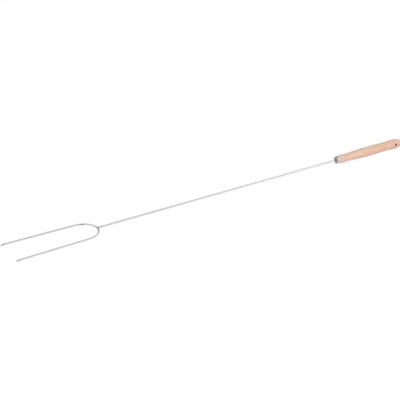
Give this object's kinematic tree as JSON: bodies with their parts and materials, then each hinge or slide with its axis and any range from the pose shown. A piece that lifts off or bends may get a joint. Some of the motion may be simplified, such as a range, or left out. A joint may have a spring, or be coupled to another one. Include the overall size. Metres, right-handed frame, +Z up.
{
  "type": "roasting skewer",
  "caption": "Forked roasting skewer: pointed prongs bent from one wire, a long thin rod, a metal ferrule and a turned wooden handle with a hanging hole.",
  "frame": {"origin": "middle of the hanging hole in the handle, on the handle's own axis", "axes": "+X along the rod from the fork to the butt of the handle, +Z up from the flat of the fork, so the fork lies in the XY plane"},
  "size_m": [0.9039, 0.0824, 0.0202],
  "materials": {
    "fork_wire": "bright plated steel wire",
    "rod_wire": "bright plated steel rod",
    "weld_metal": "plated over an as-welded surface",
    "ferrule_metal": "bright plated sheet",
    "handle_wood": "plain turned beech, unvarnished"
  },
  "bodies": {
    "root": {"fork": "fork_wire", "rod": "rod_wire", "weld_bead": "weld_metal", "ferrule": "ferrule_metal", "handle": "handle_wood"}
  },
  "joints": []
}
